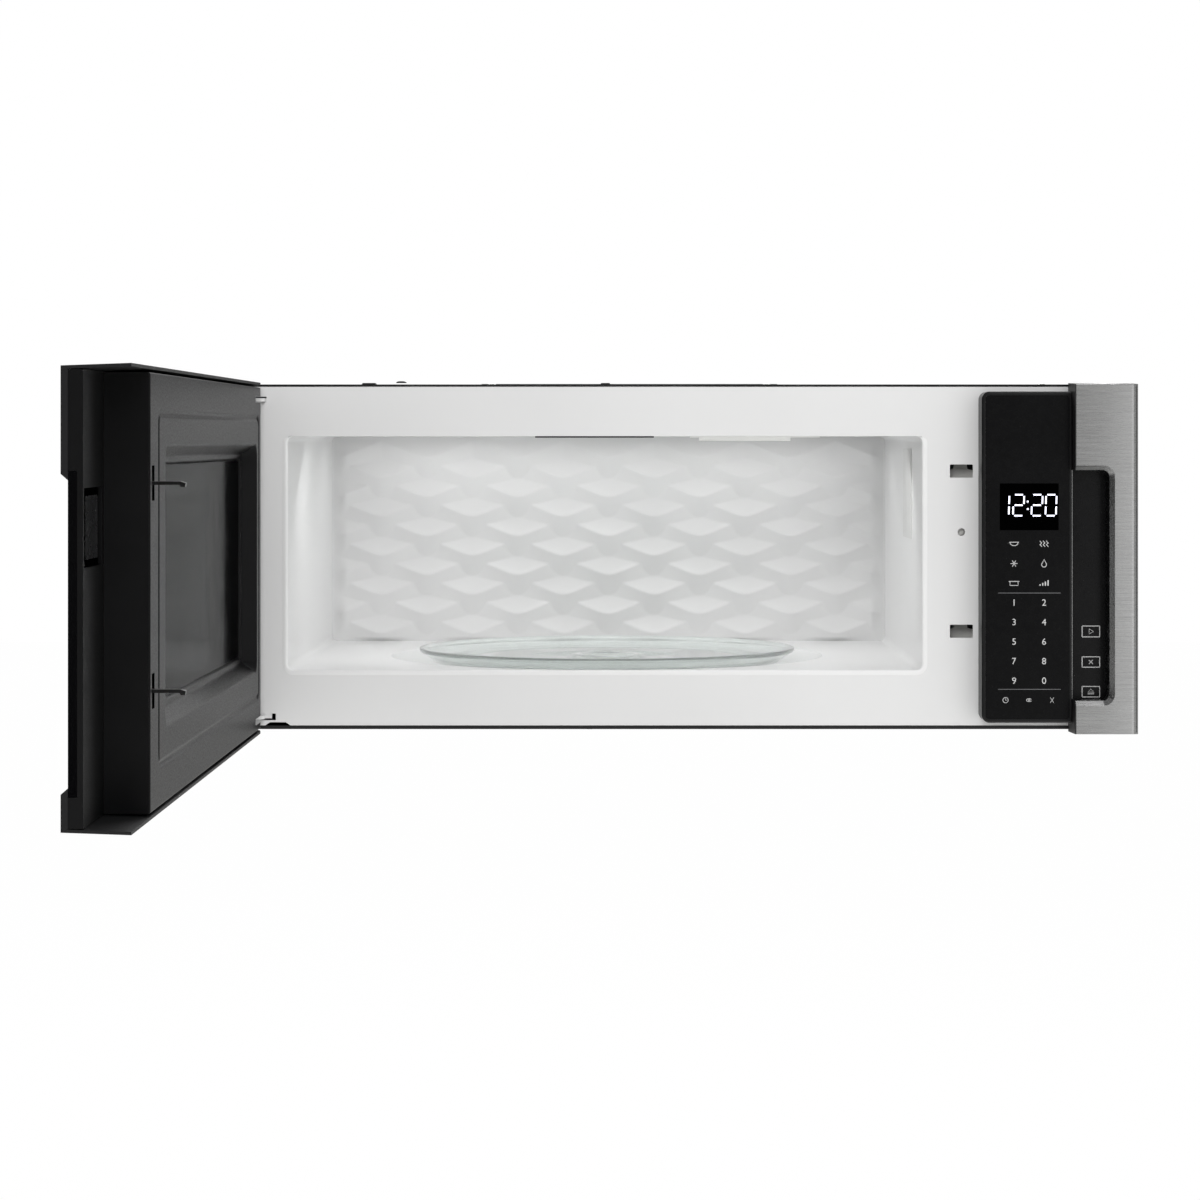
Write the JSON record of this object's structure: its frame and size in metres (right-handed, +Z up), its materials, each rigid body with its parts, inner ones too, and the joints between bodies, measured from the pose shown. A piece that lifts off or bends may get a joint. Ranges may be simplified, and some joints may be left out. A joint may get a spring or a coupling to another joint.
{
  "type": "over the range microwave",
  "caption": "Low-profile over-the-range microwave: side-hinged door open 90 degrees, embossed cavity, glass turntable, black control panel, stainless end columns and a top exhaust with damper.",
  "frame": {"origin": "middle of the wall plate's back face at the bottom of the case", "axes": "+X to the user's right, +Y into the wall, +Z up; the front faces -Y"},
  "size_m": [0.76, 1.0665, 0.2687],
  "materials": {
    "aluminium": "mill finish aluminium",
    "black_coated_steel": "textured powder coat, black",
    "black_glass": "black tempered glass, polished",
    "black_hook_plastic": "moulded acetal, black",
    "black_plastic": "moulded black plastic, fine grain",
    "black_touch_face": "glossy black touch face",
    "circuit_board": "green glass-fibre board",
    "clear_glass": "clear pressed glass",
    "dark_paint": "satin dark grey paint on stamped steel",
    "galvanised_steel": "galvanised sheet",
    "grey_glass": "tinted clear pane",
    "lamp_lens": "frosted clear plastic",
    "mica": "mica sheet, grey",
    "motor_steel": "plated steel can",
    "perforated_steel": "perforated sheet, dark paint",
    "roller_plastic": "moulded polymer, off-white",
    "spring_steel": "bright spring wire",
    "stainless": "brushed stainless steel, fine grain along X",
    "white_enamel": "white glossy enamel on steel",
    "white_plastic": "moulded acetal, white",
    "winding": "varnished copper winding on a laminated core"
  },
  "bodies": {
    "case": {"case_top": "black_coated_steel", "left_case_side": "black_coated_steel", "right_case_side": "black_coated_steel", "base_pan": "black_coated_steel", "back_plate": "galvanised_steel", "wall_mounting_plate": "galvanised_steel", "face_frame": "white_enamel", "cavity_shell": "white_enamel", "cavity_floor": "white_enamel", "turntable_well": "white_enamel", "cavity_back": "white_enamel", "waveguide": "galvanised_steel", "waveguide_cover": "mica", "magnetron": "motor_steel", "hv_transformer": "winding", "hv_capacitor": "aluminium", "cooling_fan_frame": "white_plastic", "cavity_lamp_lens": "lamp_lens", "cavity_vent_grille": "black_coated_steel", "cavity_lamp": "white_plastic", "turntable_motor": "motor_steel", "hinge_brackets": "white_enamel", "latch_board": "white_plastic", "interlock_switches": "black_plastic", "left_column": "stainless", "right_column": "stainless", "pocket_panel": "black_touch_face", "control_panel_housing": "black_plastic", "control_panel_glass": "black_touch_face", "display_module": "black_plastic", "control_board": "circuit_board", "exhaust_collar": "galvanised_steel", "exhaust_duct": "galvanised_steel", "front_blower_scroll": "black_plastic", "rear_blower_scroll": "black_plastic", "blower_motor": "motor_steel", "cooktop_lamp_lens": "lamp_lens", "cooktop_lamp": "white_plastic", "cord_bush": "black_plastic"},
    "door": {"door_skin": "stainless", "door_glass": "black_glass", "door_frame": "black_plastic", "door_inner_panel": "dark_paint", "door_window_pane": "grey_glass", "door_screen": "perforated_steel", "door_hinge_plates": "galvanised_steel", "latch_spring": "spring_steel"},
    "latch": {"latch_slider": "black_hook_plastic"},
    "coupler": {"drive_coupler": "roller_plastic"},
    "tray": {"glass_tray": "clear_glass"},
    "ring": {"roller_ring": "roller_plastic"},
    "roller_1": {"roller_wheel_1": "roller_plastic"},
    "roller_2": {"roller_wheel_2": "roller_plastic"},
    "roller_3": {"roller_wheel_3": "roller_plastic"},
    "push_rod": {"push_rod": "white_plastic"},
    "blower_rotor": {"blower_wheels": "black_plastic"},
    "fan_rotor": {"cooling_fan_wheel": "black_plastic"},
    "damper": {"exhaust_damper": "galvanised_steel"},
    "left_filter": {"left_grease_filter": "aluminium"},
    "right_filter": {"right_grease_filter": "aluminium"}
  },
  "joints": [
    {"name": "door_hinge", "type": "hinge", "parent": "case", "child": "door", "pos_m": [-0.295, -0.4405, 0], "axis": [0, 0, 1], "range_deg": [0, 90]},
    {"name": "latch_lift", "type": "slide", "parent": "door", "child": "latch", "axis": [0, 0, 1], "range_m": [0, 0.004], "stiffness_N_per_m": 300, "springref_m": -0.004, "deforming": ["latch_spring"]},
    {"name": "turntable_spin", "type": "hinge", "parent": "case", "child": "coupler", "pos_m": [-0.0182, -0.239, 0.03], "axis": [0, 0, 1], "continuous": true},
    {"name": "tray_lift", "type": "slide", "parent": "coupler", "child": "tray", "axis": [0, 0, 1], "range_m": [0, 0.05]},
    {"name": "ring_spin", "type": "hinge", "parent": "case", "child": "ring", "pos_m": [-0.0182, -0.239, 0.0335], "axis": [0, 0, 1], "continuous": true},
    {"name": "roller_1_spin", "type": "hinge", "parent": "ring", "child": "roller_1", "pos_m": [-0.0182, -0.131, 0.0335], "axis": [0, 1, 0], "continuous": true},
    {"name": "roller_2_spin", "type": "hinge", "parent": "ring", "child": "roller_2", "pos_m": [-0.11173, -0.293, 0.0335], "axis": [-0.866, -0.5, 0], "continuous": true},
    {"name": "roller_3_spin", "type": "hinge", "parent": "ring", "child": "roller_3", "pos_m": [0.07533, -0.293, 0.0335], "axis": [0.866, -0.5, 0], "continuous": true},
    {"name": "push_rod_slide", "type": "slide", "parent": "case", "child": "push_rod", "axis": [0, -1, 0], "range_m": [0, 0.0054], "stiffness_N_per_m": 150},
    {"name": "blower_spin", "type": "hinge", "parent": "case", "child": "blower_rotor", "pos_m": [-0.318, -0.215, 0.062], "axis": [0, 1, 0], "continuous": true},
    {"name": "cooling_fan_spin", "type": "hinge", "parent": "case", "child": "fan_rotor", "pos_m": [0.318, -0.038, 0.125], "axis": [0, 1, 0], "continuous": true},
    {"name": "damper_lift", "type": "hinge", "parent": "case", "child": "damper", "pos_m": [0, -0.019, 0.263], "axis": [-1, 0, 0], "range_deg": [0, 75]},
    {"name": "left_filter_slide", "type": "slide", "parent": "case", "child": "left_filter", "axis": [-1, 0, 0], "range_m": [0, 0.006]},
    {"name": "right_filter_slide", "type": "slide", "parent": "case", "child": "right_filter", "axis": [1, 0, 0], "range_m": [0, 0.006]}
  ],
  "couplings": [
    {"joint": "ring_spin", "follows": "turntable_spin", "ratio": 0.5},
    {"joint": "roller_1_spin", "follows": "turntable_spin", "ratio": -9.8182},
    {"joint": "roller_2_spin", "follows": "turntable_spin", "ratio": -9.8182},
    {"joint": "roller_3_spin", "follows": "turntable_spin", "ratio": -9.8182}
  ]
}
